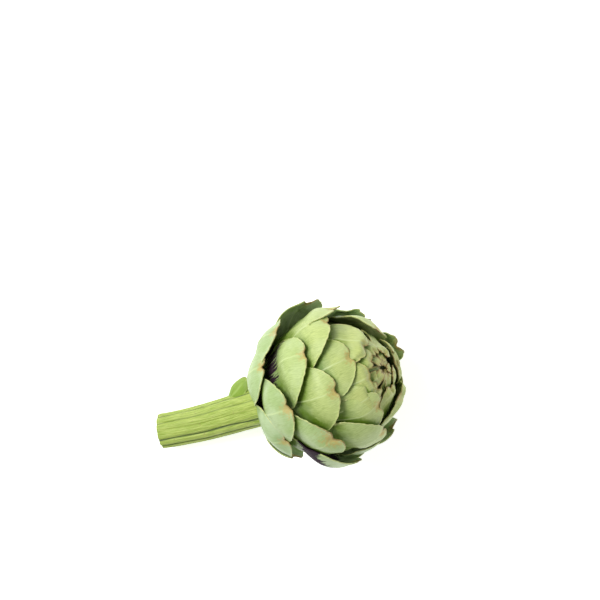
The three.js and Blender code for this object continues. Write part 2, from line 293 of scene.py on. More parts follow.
def bractAt(rank):
    low = smoothStep(rank, spiral["shorterFrom"], spiral["shorterTo"])
    size = math.exp(spiral["innerShrinking"] * min(rank, 0)) * (1 - spiral["shorterBy"] * low)
    azimuth = spiral["firstAzimuth"] - spiral["goldenAngle"] * rank
    azimuth += blade["azimuthScatter"] * scatter(rank, "azimuth")
    facing = max(0.0, math.cos(math.radians(azimuth - blade["openAzimuth"])))
    if rank < 0:
        tip = spiral["rankZeroAngle"] * math.exp(spiral["innerCrowding"] * rank)
    else:
        tip = spiral["rankZeroAngle"] + spiral["anglePerRank"] * rank
    flare = (blade["flareFirst"] + blade["flarePerRank"] * rank) * (1 + blade["opening"] * facing)
    flare *= 1 + blade["flareScatter"] * scatter(rank, "flare")
    bract = {
        "tip": tip,
        "azimuth": azimuth,
        "twist": blade["twist"] * scatter(rank, "twist"),
        "curl": blade["tipCurl"] * size * scatter(rank, "curl"),
        "width": 1 + blade["widthScatter"] * scatter(rank, "width"),
        "roll": blade["tipRoll"] * size * scatter(rank, "roll"),
        "flare": flare,
        "skew": 0.0,
        "ragged": 1.0,
        "narrowing": blade["narrowing"],
        "browned": 1.0,
    }
    bract.update(offSpiral.get(rank, {}))
    bract["rank"] = rank
    bract["size"] = size
    reach = spiral["reach"] * (spiral["leastReach"] + (1 - spiral["leastReach"]) * size)
    root = min(bract["tip"] + reach, spiral["lowestRoot"])
    bract["length"] = math.radians(root - bract["tip"]) * head["radius"]
    bract["halfWidth"] = blade["halfWidth"] * size * bract["width"]
    bract["tipLength"] = min(blade["tipLength"] * size, blade["longestTip"] * bract["length"])
    bract["thickness"] = max(blade["thickness"] * size**0.5, blade["leastThickness"])
    flareReach = blade["flareReach"] + blade["flareReachPerRank"] * max(rank, 0)
    bract["flareReach"] = min(flareReach, root - bract["tip"])
    bract["sunk"] = 0.0
    if rank < 0:
        bract["flare"] = bud["flare"] * (1 + bud["flareScatter"] * scatter(rank, "flare"))
        bract["flareReach"] = bud["flareReach"]
        bract.update(budBracts.get(rank, {}))
        length = bud["length"] + bud["lengthPerWidth"] * bract["halfWidth"]
        bract["length"] = min(bract["length"], length)
        tipLength = bud["tipPerWidth"] * bract["halfWidth"]
        bract["tipLength"] = min(tipLength, blade["longestTip"] * bract["length"])
        bract["sunk"] = bud["sunk"] * (1 - smoothStep(bract["tip"], bud["sunkWithin"], bud["sunkBelow"]))
    bract["bulge"] = blade["bulge"] + blade["bulgePerRank"] * max(rank - blade["bulgeFrom"], 0)
    bract["bulge"] *= size**1.5
    bract["lean"] = blade["tipLean"] * size * scatter(rank, "lean")
    bract["notch"] = blade["notchDepth"] * size**0.7 * (1 + blade["notchScatter"] * scatter(rank, "notch"))
    if rank < 0:
        bract["notch"] *= bud["notch"]
    return bract


# a point of a bract in the head's frame: run is how far below its tip, side is 1 at its half width
def bractPoint(bract, run, side, raised):
    across = side * bract["halfWidth"] * (1 + bract["skew"] * side)
    radius = head["radius"]
    below = math.degrees(run / radius)
    nearTip = max(0.0, 1 - below / bract["flareReach"])
    swing = math.radians(bract["twist"])
    leaning = across + bract["lean"] * nearTip**2
    polar = math.radians(bract["tip"]) + (run * math.cos(swing) - leaning * math.sin(swing)) / radius
    turn = (run * math.sin(swing) + leaning * math.cos(swing)) / radius
    out = Vector((math.cos(turn) * math.sin(polar), math.sin(turn), math.cos(turn) * math.cos(polar)))
    out.rotate(Matrix.Rotation(math.radians(bract["azimuth"]), 3, "Z"))
    pointAngle = math.degrees(math.acos(max(-1.0, min(1.0, out.z))))
    swell = bract["bulge"] * (1 - side**2)
    swell *= math.sin(math.pi * min(max(below, 0) / blade["bulgeReach"], 1))
    curl = bract["curl"] * max(0.0, 1 - run / blade["curlReach"]) ** 2
    dip = blade["apexDip"] * math.exp(-((pointAngle / blade["apexDipAngle"]) ** 2))
    lift = layerDepth(bract["tip"]) - layerDepth(pointAngle) + bract["flare"] * (1 - (1 - nearTip) ** 2)
    lift += swell + curl + bract["roll"] * side * nearTip - dip + raised - bract["sunk"]
    length = head["halfLength"] if out.z > 0 else head["baseLength"]
    normal = Vector((out.x / radius, out.y / radius, out.z / length)).normalized()
    return Vector((out.x * radius, out.y * radius, out.z * length)) + normal * lift


# how far below the tip the outline lies, at a share of the half width
def outlineRun(bract, share):
    rounded = abs(share) ** (2 / blade["tipSharpness"])
    run = bract["tipLength"] * (1 - math.sqrt(max(0.0, 1 - rounded)))
    notchWidth = bud["notchWidth"] if bract["rank"] < 0 else blade["notchWidth"]
    off = share - blade["notchAside"] * scatter(bract["rank"], "notchPlace")
    if bract["rank"] < 0:
        phase = bud["lobeShift"] * scatter(bract["rank"], "lobes")
        scallop = abs(math.sin(math.pi * bud["lobes"] * share + phase)) ** bud["lobeShape"]
        run += bud["lobeDepth"] * bract["size"] ** 0.5 * (1 - scallop)
    across = share * bract["halfWidth"]
    shift = 5 * scatter(bract["rank"], "ripple")
    fineShift = 5 * scatter(bract["rank"], "fineRipple")
    ragged = blade["ripple"] * math.sin(across * blade["rippleCloseness"] + shift)
    ragged += blade["fineRipple"] * math.sin(across * blade["fineCloseness"] + fineShift)
    run += ragged * bract["ragged"] * bract["size"]
    return run + bract["notch"] * math.exp(-((off / notchWidth) ** 2))


patterns = {
    "outer": dict(columns=48, rows=48),
    "bud": dict(columns=44, rows=30),
}


# one flat blade: x runs across it and y from root to tip, both from -1 to 1
def makePattern(name):
    clearSelection()
    grid = patterns[name]
    bpy.ops.mesh.primitive_grid_add(x_subdivisions=grid["columns"], y_subdivisions=grid["rows"], size=2)
    pattern = bpy.context.object
    pattern.name = name + "Pattern"
    return pattern


# one value for each vertex, or a single value for all of them
def floatAttributes(mesh, **attributes):
    for name, values in attributes.items():
        if isinstance(values, float):
            values = [values] * len(mesh.vertices)
        layer = mesh.attributes.new(name, "FLOAT", "POINT")
        layer.data.foreach_set("value", values)


def fillMap(mesh, across, along):
    for loop, corner in zip(mesh.loops, mesh.uv_layers.active.data):
        i = loop.vertex_index
        corner.uv = (across[i] / mapSize + 0.5, along[i] / mapSize)


def makeBract(rank, pattern, place):
    bract = bractAt(rank)
    piece = pattern.copy()
    piece.data = pattern.data.copy()
    piece.name = f"bract_{rank + spiral['innerRanks']:02d}"
    piece.data.name = piece.name
    bpy.context.scene.collection.objects.link(piece)
    mesh = piece.data
    flesh = piece.vertex_groups.new(name="flesh")
    surface, widths, edge, tipDistance, stain, along = [], [], [], [], [], []
    mark = stains.get(rank)
    phase = 3 * scatter(rank, "wave")
    for vertex in mesh.vertices:
        share = math.sin(vertex.co.x * math.pi / 2)
        step = (vertex.co.y + 1) / 2
        end = outlineRun(bract, share)
        run = bract["length"] + (end - bract["length"]) * (1 - (1 - step) ** blade["rootCrowding"])
        narrow = smoothStep(run, bract["tipLength"], bract["length"])
        side = share * (1 - bract["narrowing"] * narrow)
        across = side * bract["halfWidth"]
        inward = min(run - end, (1 - abs(share)) * bract["halfWidth"] * blade["sideCloseness"])
        rim = math.exp(-((inward / blade["rimWidth"]) ** 2))
        wave = math.sin(run * blade["longWave"] + phase) * share
        shortWave = math.sin(run * blade["shortWave"] - phase * 2 + 2 * share)
        wave += blade["shortWaveShare"] * shortWave
        raised = blade["edgeRoll"] * rim + blade["wave"] * bract["size"] * wave * (1 - narrow)
        frill = math.sin(share * bract["halfWidth"] * blade["frillCloseness"] + phase)
        frill *= math.exp(-((inward / blade["frillReach"]) ** 2))
        raised += blade["frill"] * (bract["ragged"] - 1) * frill
        if rank < 0:
            rounding = smoothStep(inward, 0, bud["plumpEdge"])
            rounding *= 1 - smoothStep(run, bud["plumpFrom"], bud["plumpTo"])
            raised += bud["plump"] * bract["size"] ** 0.5 * rounding
        pinch = math.exp(-((across / blade["pinchWidth"]) ** 2) - ((inward / blade["pinchReach"]) ** 2))
        raised -= blade["pinch"] * bract["size"] * pinch
        midrib = math.exp(-((across / blade["midribWidth"]) ** 2))
        raised += blade["midrib"] * midrib * smoothStep(run, blade["midribFrom"], blade["midribTo"])
        surface.append(bractPoint(bract, run, side, raised))
        fleshy = (1 - share**2) * smoothStep(run - end, 0, blade["fleshReach"])
        flesh.add([vertex.index], fleshy, "REPLACE")
        edge.append(inward)
        tipDistance.append(math.hypot(run - bract["notch"], across) / bract["browned"])
        along.append(run)
        widths.append(share * bract["halfWidth"])
        amount = 0.0
        if mark:
            slanted = run + mark["side"] * across * stainBand["slant"]
            start, fade = mark["start"], mark["fade"]
            amount = mark["strength"] * smoothStep(slanted, start - fade, start + fade)
            fading = smoothStep(slanted, start + stainBand["fadesAfter"], start + stainBand["goneAfter"])
            amount *= 1 - fading
        stain.append(amount)
    fillMap(mesh, widths, along)
    for vertex, point in zip(mesh.vertices, surface):
        placed = place @ point
        placed.z = max(placed.z, 0.0)
        vertex.co = placed * mm
    floatAttributes(mesh, edge=edge, tipDistance=tipDistance, stain=stain, along=along)
    floatAttributes(
        mesh,
        lowness=smoothStep(rank, ranks["lowFrom"], ranks["lowTo"]),
        budShare=1 - smoothStep(rank, ranks["budFrom"], ranks["budTo"]),
        tone=0.5 + 0.5 * scatter(rank, "tone"),
    )
    shell = piece.modifiers.new("thickness", "SOLIDIFY")
    shell.thickness = bract["thickness"] * mm
    shell.offset = -1
    shell.vertex_group = "flesh"
    shell.thickness_vertex_group = blade["edgeThickness"] / bract["thickness"]
    shell.material_offset = 1
    shell.use_rim = True
    applyThickness(piece)
    piece.vertex_groups.clear()
    return piece


shading = {
    "rings": (dict(rays=4, spread=45.0), dict(rays=8, spread=74.0)),
    "reach": 17.0,
    "start": 0.4,
    "farLoss": 0.6,
}


def raysAround(normal):
    helper = Vector((0, 0, 1)) if abs(normal.z) < 0.9 else Vector((1, 0, 0))
    first = normal.cross(helper).normalized()
    second = normal.cross(first)
    rays = [normal]
    for ring in shading["rings"]:
        spread = math.radians(ring["spread"])
        for i in range(ring["rays"]):
            turn = 2 * math.pi * i / ring["rays"]
            level = first * math.cos(turn) + second * math.sin(turn)
            rays.append(normal * math.cos(spread) + level * math.sin(spread))
    return rays


# how freely light reaches the outer face of each blade: 1 is open, 0 is deep under its neighbours
def addOpenness(pieces, outerCounts):
    points, faces = [], []
    for piece in pieces:
        first = len(points)
        points.extend(vertex.co.copy() for vertex in piece.data.vertices)
        faces.extend([first + i for i in polygon.vertices] for polygon in piece.data.polygons)
    tree = BVHTree.FromPolygons(points, faces)
    reach = shading["reach"] * mm
    for piece in pieces:
        count = outerCounts[piece.name]
        values = []
        for vertex in piece.data.vertices:
            if vertex.index >= count:
                values.append(values[vertex.index - count] if vertex.index < 2 * count else 0.5)
                continue
            start = vertex.co + vertex.normal * shading["start"] * mm
            blocked = 0.0
            rays = raysAround(vertex.normal)
            for ray in rays:
                distance = tree.ray_cast(start, ray, reach)[3]
                if distance is not None:
                    blocked += 1 - shading["farLoss"] * distance / reach
            values.append(1 - blocked / len(rays))
        floatAttributes(piece.data, openness=values)


# the solid middle that shows between the bracts, mottled green with painted shade for the gaps
def makeCore(place):
    clearSelection()
    bpy.ops.mesh.primitive_uv_sphere_add(segments=head["segments"], ring_count=head["rings"], radius=1)
    core = bpy.context.object
    core.name = "headCore"
    depth = head["coreDepth"]
    for vertex in core.data.vertices:
        x, y, z = vertex.co
        length = head["halfLength"] if z > 0 else head["baseLength"]
        wide = head["radius"] - depth
        point = Vector((x * wide, y * wide, z * (length - depth)))
        if z < -head["neckFrom"]:  # drawn down into the neck
            point.z -= head["neckDraw"] * smoothStep(-z, head["neckFrom"], 1.0)
        vertex.co = place @ point * mm
    bpy.ops.object.shade_smooth()
    return core


stem = {
    "topRadius": 12.4,
    "endRadius": 10.8,
    "run": 73.4,
    "side": 4.0,
    "endHeight": 10.5,
    "endTurn": 10.0,
    "endSlope": 5.0,
    "bend": 26.0,
    "ribs": 12,
    "groove": 0.9,
    "grooveWidth": 0.11,
    "around": 336,
    "lengthwise": 100,
    "jointGap": 0.3,
    "curveSteps": 200,
    "grooveStart": 0.3,
    "leastGroove": 0.65,
    "wander": 0.05,
    "fineWander": 0.03,
    "ribRound": 0.25,
    "fineRidge": 0.10,
    "finerRidge": 0.07,
    "weld": 0.02,
    "nearEnd": 30,
    "mapRadius": 12,
    "edgeAngle": 40,
}


def bezier(points, t):
    a, b, c, d = points
    s = 1 - t
    return a * s**3 + b * 3 * s * s * t + c * 3 * s * t * t + d * t**3


def bezierTangent(points, t):
    a, b, c, d = points
    s = 1 - t
    return ((b - a) * s * s + (c - b) * 2 * s * t + (d - c) * t * t).normalized()


def stemCurve(place):
    top = place @ Vector((0, 0, -head["neckEnd"] - stem["jointGap"]))
    axis = (place.to_3x3() @ Vector((0, 0, 1))).normalized()
    turn, slope = math.radians(stem["endTurn"]), math.radians(stem["endSlope"])
    level = math.cos(slope)
    towardsHead = Vector((math.cos(turn) * level, -math.sin(turn) * level, math.sin(slope)))
    end = Vector((top.x - stem["run"], stem["side"], stem["endHeight"]))
    points = (top, top - axis * stem["bend"], end + towardsHead * stem["bend"], end)
    steps = [0.0]
    last = top
    for i in range(1, stem["curveSteps"] + 1):
        here = bezier(points, i / stem["curveSteps"])
        steps.append(steps[-1] + (here - last).length)
        last = here
    return points, steps


# the stem's own directions at a share of its length, kept upright so that it doesn't twist
def stemFrame(curve, share):
    points, steps = curve
    want = share * steps[-1]
    i = max(1, next((k for k, s in enumerate(steps) if s >= want), stem["curveSteps"]))
    t = (i - 1 + (want - steps[i - 1]) / (steps[i] - steps[i - 1])) / stem["curveSteps"]
    along = bezierTangent(points, t)
    side = Vector((0, 0, 1)).cross(along).normalized()
    return bezier(points, t), along, side, along.cross(side)


def stemRadius(share, angle):
    radius = stem["topRadius"] + (stem["endRadius"] - stem["topRadius"]) * share
    ribAngle = 2 * math.pi / stem["ribs"]
    depth = stem["groove"] * smoothStep(share, 0.0, stem["grooveStart"])
    wander = stem["wander"] * math.sin(share * 5 + 1.3) + stem["fineWander"] * math.sin(share * 13)
    place = (angle + wander) / ribAngle
    rib = math.floor(place + 0.5)
    offset = abs(place - rib)
    own = stem["leastGroove"] + (1 - stem["leastGroove"]) * scatter(rib % stem["ribs"], "groove")
    cut = math.exp(-((offset / stem["grooveWidth"]) ** 2)) * own
    fine = stem["fineRidge"] * math.sin(angle * 41 + 3 * math.sin(share * 4))
    fine += stem["finerRidge"] * math.sin(angle * 67 - share * 9)
    rounded = stem["ribRound"] * (1 - cut) * math.cos(place * 2 * math.pi + math.pi)
    return radius - depth * cut + rounded + fine, cut * own


def makeStem(place):
    clearSelection()
    bpy.ops.mesh.primitive_grid_add(x_subdivisions=stem["around"], y_subdivisions=stem["lengthwise"], size=2)
    piece = bpy.context.object
    piece.name = "ribbedStem"
    mesh = piece.data
    curve = stemCurve(place)
    total = curve[1][-1]
    rows = {}
    grooves, lengths, widths = [], [], []
    for vertex in mesh.vertices:
        share = round((1 - vertex.co.y) / 2, 5)
        if share not in rows:
            rows[share] = stemFrame(curve, share)
        centre, along, side, up = rows[share]
        angle = math.pi * vertex.co.x
        radius, cut = stemRadius(share, angle)
        point = centre + side * radius * math.cos(angle) + up * radius * math.sin(angle)
        point.z = max(point.z, 0.0)
        vertex.co = point * mm
        grooves.append(cut)
        lengths.append(share * total)
        widths.append(angle * stem["mapRadius"])
    fillMap(mesh, widths, lengths)
    floatAttributes(mesh, groove=grooves, radial=1.0)
    bpy.ops.object.mode_set(mode="EDIT")
    bpy.ops.mesh.select_all(action="SELECT")
    bpy.ops.mesh.remove_doubles(threshold=stem["weld"] * mm)
    bpy.ops.object.mode_set(mode="OBJECT")
    return piece, curve


# the ends are closed with rings that draw in to the middle
def closeEnd(piece, curve, share, rings):
    centre, along, side, up = stemFrame(curve, share)
    middle = centre * mm
    mesh = piece.data
    selectOnly(piece)
    bpy.ops.object.mode_set(mode="EDIT")
    bpy.ops.mesh.select_mode(type="EDGE")
    bpy.ops.mesh.select_all(action="DESELECT")
    bpy.ops.object.mode_set(mode="OBJECT")
    uses = {}
    for polygon in mesh.polygons:
        for key in polygon.edge_keys:
            uses[key] = uses.get(key, 0) + 1
    near = stem["nearEnd"] * mm
    for meshEdge in mesh.edges:
        lone = uses.get(tuple(sorted(meshEdge.vertices)), 0) == 1
        if lone and (mesh.vertices[meshEdge.vertices[0]].co - middle).length < near:
            meshEdge.select = True
    bpy.ops.object.mode_set(mode="EDIT")
    last = 1.0
    for ring in rings:
        bpy.ops.mesh.extrude_edges_move()
        bpy.ops.object.mode_set(mode="OBJECT")
        for vertex in mesh.vertices:
            if vertex.select:
                spread = (vertex.co - middle) * (ring["reach"] / last)
                vertex.co = middle + spread + along * ring["sink"] * mm
                mesh.attributes["radial"].data[vertex.index].value = ring["reach"]
        last = ring["reach"]
        bpy.ops.object.mode_set(mode="EDIT")
    bpy.ops.mesh.merge(type="CENTER")
    bpy.ops.mesh.select_mode(type="VERT")
    bpy.ops.object.mode_set(mode="OBJECT")


# rings at the cut end and at the end in the head: reach is a share of the radius, sink is in mm
endRings = [
    dict(reach=0.985, sink=0.15),
    dict(reach=0.93, sink=-0.35),
    dict(reach=0.86, sink=-0.25),
    dict(reach=0.6, sink=-0.3),
    dict(reach=0.3, sink=-0.2),
    dict(reach=0.05, sink=0.0),
]
neckRings = [
    dict(reach=0.9, sink=0.0),
    dict(reach=0.05, sink=0.0),
]


def smoothStem(piece):
    selectOnly(piece)
    bpy.ops.object.mode_set(mode="EDIT")
    bpy.ops.mesh.select_all(action="SELECT")
    bpy.ops.mesh.normals_make_consistent(inside=False)
    bpy.ops.object.mode_set(mode="OBJECT")
    bpy.ops.object.shade_smooth_by_angle(angle=math.radians(stem["edgeAngle"]))


leaf = {
    "along": 0.355,
    "rootAngle": 72.0,
    "faceAngle": 22.0,
    "lean": 30.0,
    "length": 22.0,
    "halfWidth": 5.7,
    "thickness": 1.3,
    "cup": 1.6,
    "sunk": 3.5,
    "columns": 24,
    "rows": 36,
    "leastWidth": 0.02,
    "rootWidth": 0.5,
    "widestAt": 0.45,
    "pointed": 2.4,
    "ripple": 0.25,
    "sway": 0.5,
    "greenTip": 1.5,
    "tone": 0.1,
}


def leafWidth(share):
    widening = leaf["rootWidth"] + (1 - leaf["rootWidth"]) * smoothStep(share, 0, 0.5)
    beyond = max(0.0, (share - leaf["widestAt"]) / (1 - leaf["widestAt"]))
    return widening * math.sqrt(max(0.0, 1 - beyond ** leaf["pointed"]))


def makeLeaf(curve):
    centre, along, side, up = stemFrame(curve, leaf["along"])

    def around(angle):
        return up * math.cos(math.radians(angle)) - side * math.sin(math.radians(angle))

    out = around(leaf["rootAngle"])
    lean = math.radians(leaf["lean"])
    length = out * math.sin(lean) - along * math.cos(lean)
    across = -around(leaf["faceAngle"]).cross(length).normalized()
    normal = across.cross(length)
    root = centre + out * (stem["topRadius"] - leaf["sunk"])
    clearSelection()
    bpy.ops.mesh.primitive_grid_add(x_subdivisions=leaf["columns"], y_subdivisions=leaf["rows"], size=2)
    piece = bpy.context.object
    piece.name = "stemLeaf"
    mesh = piece.data
    edge, tipDistance, run, widths = [], [], [], []
    for vertex in mesh.vertices:
        t = math.sin(vertex.co.x * math.pi / 2)
        share = (vertex.co.y + 1) / 2
        width = max(leafWidth(share), leaf["leastWidth"])
        rise = leaf["cup"] * (math.sin(math.pi * share) - t * t * width)
        rise += leaf["ripple"] * math.sin(share * 9 + t * 2)
        point = root + length * leaf["length"] * share + normal * rise
        point += across * (t * width * leaf["halfWidth"] + leaf["sway"] * math.sin(share * 3))
        widths.append(vertex.co.x * leaf["halfWidth"])
        vertex.co = point * mm
        edge.append((1 - abs(t)) * width * leaf["halfWidth"] * blade["sideCloseness"])
        tipDistance.append((1 - share) * leaf["length"] + leaf["greenTip"])
        run.append((1 - share) * leaf["length"])
    fillMap(mesh, widths, run)
    floatAttributes(mesh, edge=edge, tipDistance=tipDistance, stain=0.0, along=run)
    floatAttributes(mesh, lowness=0.0, budShare=0.0, openness=1.0, tone=leaf["tone"])
    shell = piece.modifiers.new("thickness", "SOLIDIFY")
    shell.thickness = leaf["thickness"] * mm
    shell.offset = -1
    applyThickness(piece)
    return piece


# helpers for the materials' nodes
def link(tree, source, target):
    tree.links.new(source, target)


def node(tree, kind, **values):
    made = tree.nodes.new("ShaderNode" + kind)
    for name, value in values.items():
        setattr(made, name, value)
    return made


def attribute(tree, name):
    return node(tree, "Attribute", attribute_name=name, attribute_type="GEOMETRY").outputs["Fac"]


def ramp(tree, source, low, high, start=0.0, end=1.0, smooth=True):
    made = node(tree, "MapRange", interpolation_type="SMOOTHSTEP" if smooth else "LINEAR")
    link(tree, source, made.inputs["Value"])
    made.inputs["From Min"].default_value = low
    made.inputs["From Max"].default_value = high
    made.inputs["To Min"].default_value = start
    made.inputs["To Max"].default_value = end
    return made.outputs["Result"]


def mixColour(tree, factor, first, second):
    made = node(tree, "Mix", data_type="RGBA", blend_type="MIX")
    slots = [made.inputs[6], made.inputs[7]]
    for slot, value in zip(slots, (first, second)):
        if isinstance(value, tuple):
            slot.default_value = (*value, 1)
        else:
            link(tree, value, slot)
    link(tree, factor, made.inputs[0])
    return made.outputs[2]


def sums(tree, operation, first, second):
    made = node(tree, "Math", operation=operation)
    for slot, value in zip(made.inputs, (first, second)):
        if isinstance(value, (int, float)):
            slot.default_value = value
        else:
            link(tree, value, slot)
    return made.outputs[0]


def noise(tree, vector, scale, detail=3.0, roughness=0.55, distortion=0.0):
    made = node(tree, "TexNoise")
    link(tree, vector, made.inputs["Vector"])
    made.inputs["Scale"].default_value = scale
    made.inputs["Detail"].default_value = detail
    made.inputs["Roughness"].default_value = roughness
    made.inputs["Distortion"].default_value = distortion
    return made.outputs["Fac"]


def newGroup(name, inputs, outputs):
    group = bpy.data.node_groups.new(name, "ShaderNodeTree")
    for label, kind in inputs:
        group.interface.new_socket(name=label, in_out="INPUT", socket_type="NodeSocket" + kind)
    for label, kind in outputs:
        group.interface.new_socket(name=label, in_out="OUTPUT", socket_type="NodeSocket" + kind)
    return group, group.nodes.new("NodeGroupInput"), group.nodes.new("NodeGroupOutput")


# fine fibres that run from root to tip, on the piece's own map
def makeFibreGroup():
    group, given, result = newGroup(
        "plantFibres", [("Map", "Vector"), ("Across", "Float"), ("Along", "Float")], [("Fibres", "Float")]
    )
    scale = node(group, "CombineXYZ")
    link(group, given.outputs["Across"], scale.inputs["X"])
    link(group, given.outputs["Along"], scale.inputs["Y"])
    scaled = node(group, "VectorMath", operation="MULTIPLY")
    link(group, given.outputs["Map"], scaled.inputs[0])
    link(group, scale.outputs["Vector"], scaled.inputs[1])
    fibres = noise(group, scaled.outputs["Vector"], 1.0, detail=4.0, roughness=0.6, distortion=0.3)
    link(group, fibres, result.inputs["Fibres"])
    return group


# soft cloudy patches over the whole object, in metres
def makeMottleGroup():
    group, given, result = newGroup(
        "softMottle",
        [("Position", "Vector"), ("Scale", "Float")],
        [("Patches", "Float"), ("Specks", "Float")],
    )
    broad = node(group, "TexNoise")
    link(group, given.outputs["Position"], broad.inputs["Vector"])
    link(group, given.outputs["Scale"], broad.inputs["Scale"])
    broad.inputs["Detail"].default_value = 4.0
    fine = node(group, "TexNoise")
    link(group, given.outputs["Position"], fine.inputs["Vector"])
    link(group, sums(group, "MULTIPLY", given.outputs["Scale"], 9.0), fine.inputs["Scale"])
    fine.inputs["Detail"].default_value = 2.0
    link(group, broad.outputs["Fac"], result.inputs["Patches"])
    link(group, fine.outputs["Fac"], result.inputs["Specks"])
    return group


fibreGroup = makeFibreGroup()
mottleGroup = makeMottleGroup()


def placeGroup(tree, group, **values):
    made = node(tree, "Group", node_tree=group)
    for name, value in values.items():
        slot = made.inputs[name]
        if isinstance(value, (int, float)):
            slot.default_value = value
        else:
            link(tree, value, slot)
    return made


def newMaterial(name, roughness):
    material = bpy.data.materials.new(name)
    material.use_nodes = True
    tree = material.node_tree
    shader = tree.nodes["Principled BSDF"]
    shader.inputs["Roughness"].default_value = roughness
    return material, tree, shader


def setBump(tree, shader, height, strength, distance):
    bump = node(tree, "Bump")
    bump.inputs["Strength"].default_value = strength
    bump.inputs["Distance"].default_value = distance
    link(tree, height, bump.inputs["Height"])
    link(tree, bump.outputs["Normal"], shader.inputs["Normal"])


skin = {
    "yellowGreen": (0.52, 0.61, 0.22),
    "blueGreen": (0.31, 0.45, 0.19),
    # deep green of the veins and bract bases, also the colour of the painted shade between the bracts
    "veinAndShadeGreen": (0.115, 0.205, 0.014),
    "budGreen": (0.48, 0.52, 0.17),
    "midrib": (0.60, 0.70, 0.34),
    "edge": (0.66, 0.68, 0.28),
    "tan": (0.50, 0.35, 0.10),
    "crust": (0.20, 0.11, 0.03),
    "purple": (0.022, 0.007, 0.018),
    "bloom": (0.55, 0.65, 0.42),
    "roughness": 0.42,
    "gloss": 0.3,
    "fibres": dict(Across=260.0, Along=22.0),
    "feathers": dict(Across=105.0, Along=9.0),
    "patchScale": 70.0,
}


# the Map Range settings of the skin: lengths in mm, the rest as shares
skinRamps = {
    "lowGreen": dict(low=0.15, high=0.9),
    "fibreShift": dict(low=0.3, high=0.7, start=-5.0, end=5.0, smooth=False),
    # darker towards the root: partly the bract's own deeper green, partly painted shade under the bracts
    # that overlap it
    "rootGreenAndShade": dict(low=10.0, high=32.0, start=0.0, end=0.7),
    # painted shade, following the ray-cast openness
    "shadeUnderNeighbours": dict(low=0.48, high=1.0, start=1.0, end=0.0),
    "veins": dict(low=0.38, high=0.66, start=0.0, end=0.28),
    "haze": dict(low=0.42, high=0.68, start=0.0, end=0.42),
    "hazeByRank": dict(low=0.0, high=1.0, start=0.3, end=1.0),
    "midrib": dict(low=0.001, high=0.008, start=0.45, end=0.0),
    "midribStart": dict(low=2.0, high=8.0),
    "uneven": dict(low=0.35, high=0.65, start=0.25, end=1.0, smooth=False),
    "rim": dict(low=0.15, high=1.0, start=0.85, end=0.0),
    "tipShift": dict(low=0.3, high=0.7, start=-1.8, end=1.8, smooth=False),
    "browned": dict(low=0.8, high=4.6, start=0.7, end=0.0),
    "brownedByBud": dict(low=0.0, high=1.0, start=1.0, end=0.45),
    "budEdge": dict(low=0.15, high=1.0, start=0.45, end=0.0),
    "crust": dict(low=0.25, high=1.1, start=0.95, end=0.0),
    "crustReach": dict(low=4.0, high=8.5, start=1.0, end=0.0),
    "streaks": dict(low=0.36, high=0.64, start=-0.75, end=0.75, smooth=False),
    "purple": dict(low=0.4, high=0.65),
    "stained": dict(low=0.02, high=0.25),
    "polish": dict(low=0.3, high=0.7, start=0.36, end=0.52),
}

skinAmounts = {
    "tone": 0.3,
    "budGreen": 0.6,
    "dullPurple": 0.4,
    "fibreHeight": 0.6,
    "speckHeight": 0.5,
    "bump": 0.35,
    "bumpDepth": 0.0005,
}


